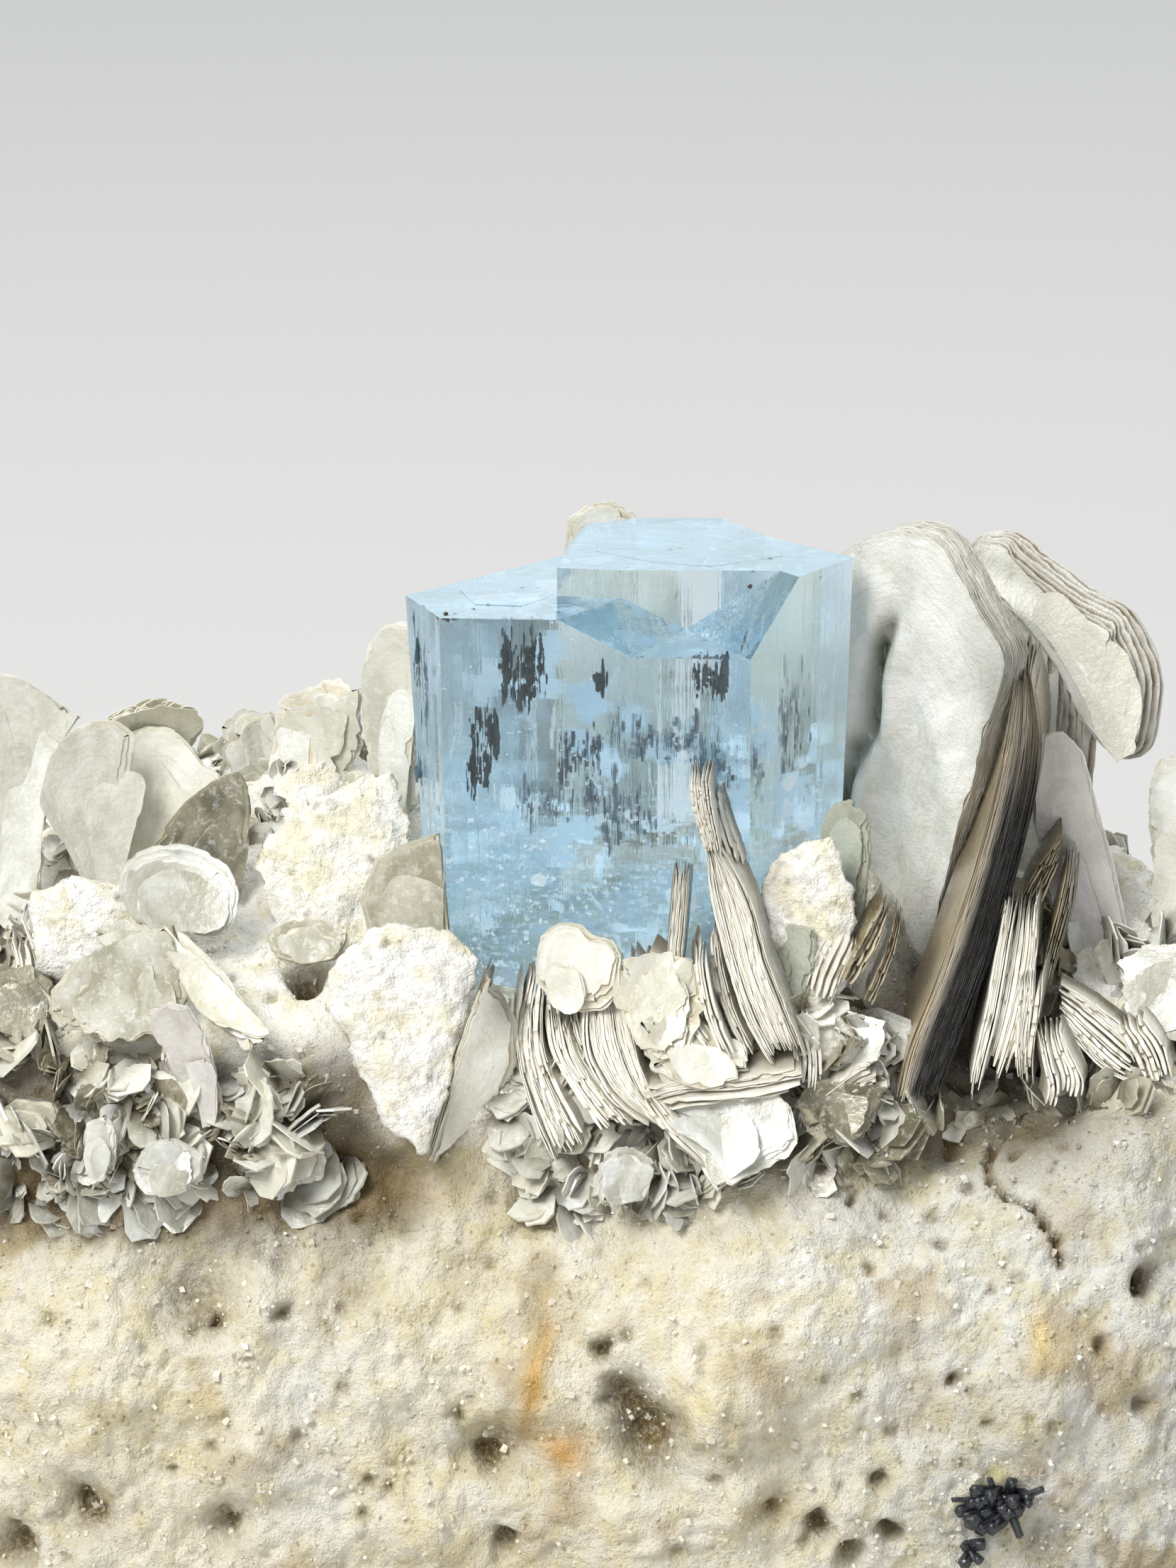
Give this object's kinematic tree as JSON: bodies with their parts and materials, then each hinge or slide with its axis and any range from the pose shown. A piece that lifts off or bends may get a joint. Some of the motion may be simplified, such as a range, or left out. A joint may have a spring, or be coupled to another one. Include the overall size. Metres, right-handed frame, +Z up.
{
  "type": "aquamarine crystal specimen",
  "caption": "Pale blue aquamarine prism standing among silvery muscovite mica books on a rough white albite rock with small black schorl crystals.",
  "frame": {"origin": "middle of the specimen's footprint box, on the flat trimmed base", "axes": "+Z up, -Y is the display side that the broad prism face looks out of, +X to the right seen from the display side"},
  "size_m": [0.0686, 0.0433, 0.053],
  "materials": {
    "albite_rock": "rough sugary mineral",
    "aquamarine": "clear vitreous mineral",
    "muscovite": "pearly layered mica",
    "schorl": "black vitreous mineral"
  },
  "bodies": {
    "root": {"aquamarine": "aquamarine", "matrix": "albite_rock", "muscovite_back_a": "muscovite", "muscovite_back_b": "muscovite", "muscovite_back_c": "muscovite", "muscovite_behind": "muscovite", "muscovite_behind_right": "muscovite", "muscovite_bright_a": "muscovite", "muscovite_bright_b": "muscovite", "muscovite_bright_c": "muscovite", "muscovite_bright_d": "muscovite", "muscovite_brown_blades": "muscovite", "muscovite_chip": "muscovite", "muscovite_dark_left": "muscovite", "muscovite_dark_left_low": "muscovite", "muscovite_dark_triangle": "muscovite", "muscovite_disc": "muscovite", "muscovite_draped": "muscovite", "muscovite_fan_back": "muscovite", "muscovite_fan_edge": "muscovite", "muscovite_fan_main": "muscovite", "muscovite_far_left": "muscovite", "muscovite_green_plate": "muscovite", "muscovite_grey_a": "muscovite", "muscovite_grey_b": "muscovite", "muscovite_hanging": "muscovite", "muscovite_hex_plate": "muscovite", "muscovite_hole_rim": "muscovite", "muscovite_left_blade": "muscovite", "muscovite_left_blade_b": "muscovite", "muscovite_lobe_left": "muscovite", "muscovite_lobe_right": "muscovite", "muscovite_mid_leaf": "muscovite", "muscovite_pale_blade": "muscovite", "muscovite_radial_fan": "muscovite", "muscovite_right_blades": "muscovite", "muscovite_round_book": "muscovite", "muscovite_s_book": "muscovite", "muscovite_silver_plate": "muscovite", "muscovite_silver_right": "muscovite", "muscovite_skyline": "muscovite", "muscovite_small_front": "muscovite", "muscovite_spike": "muscovite", "muscovite_tan_blade": "muscovite", "muscovite_triangle_blade": "muscovite", "muscovite_under_disc": "muscovite", "muscovite_upright_book": "muscovite", "muscovite_vertical_cluster": "muscovite", "muscovite_wavy_sheets": "muscovite", "muscovite_wedge_right": "muscovite", "schorl_main": "schorl", "schorl_small": "schorl"}
  },
  "joints": []
}
